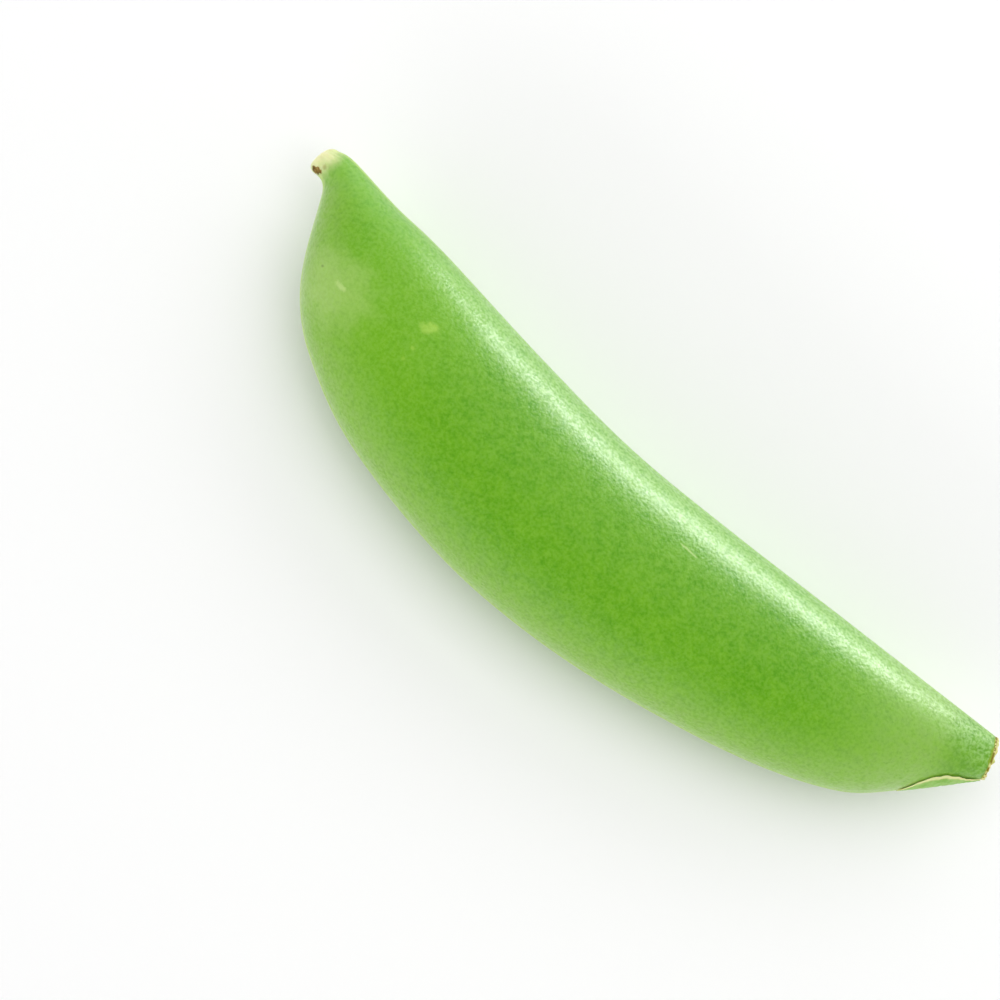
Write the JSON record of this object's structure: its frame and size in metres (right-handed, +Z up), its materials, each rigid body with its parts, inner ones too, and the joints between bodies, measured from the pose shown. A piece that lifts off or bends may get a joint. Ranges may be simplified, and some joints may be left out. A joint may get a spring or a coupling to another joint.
{
  "type": "sugar snap pea pod",
  "caption": "Plump curved green pea pod lying on its broad side, with a blunt pale tip, a torn calyx flap and a broken stalk end; food prop for table and kitchen scenes.",
  "frame": {"origin": "middle of the pod's bounding box, at the height of the surface it rests on", "axes": "+X from the blossom tip to the stalk end, +Y towards the straighter seam that carries the peas, +Z up through the thickness"},
  "size_m": [0.0781, 0.0203, 0.0125],
  "materials": {
    "pod_skin": "waxy fresh green skin with a fine stipple, satin sheen",
    "calyx": "thin green leaf tissue with a pale torn edge",
    "torn_stalk": "pale torn fibres with brown dried streaks",
    "dried_style": "dry brown tissue"
  },
  "bodies": {
    "root": {"pod": "pod_skin", "calyx_flap": "calyx", "stalk_base": "torn_stalk", "style_remnant": "dried_style"}
  },
  "joints": []
}
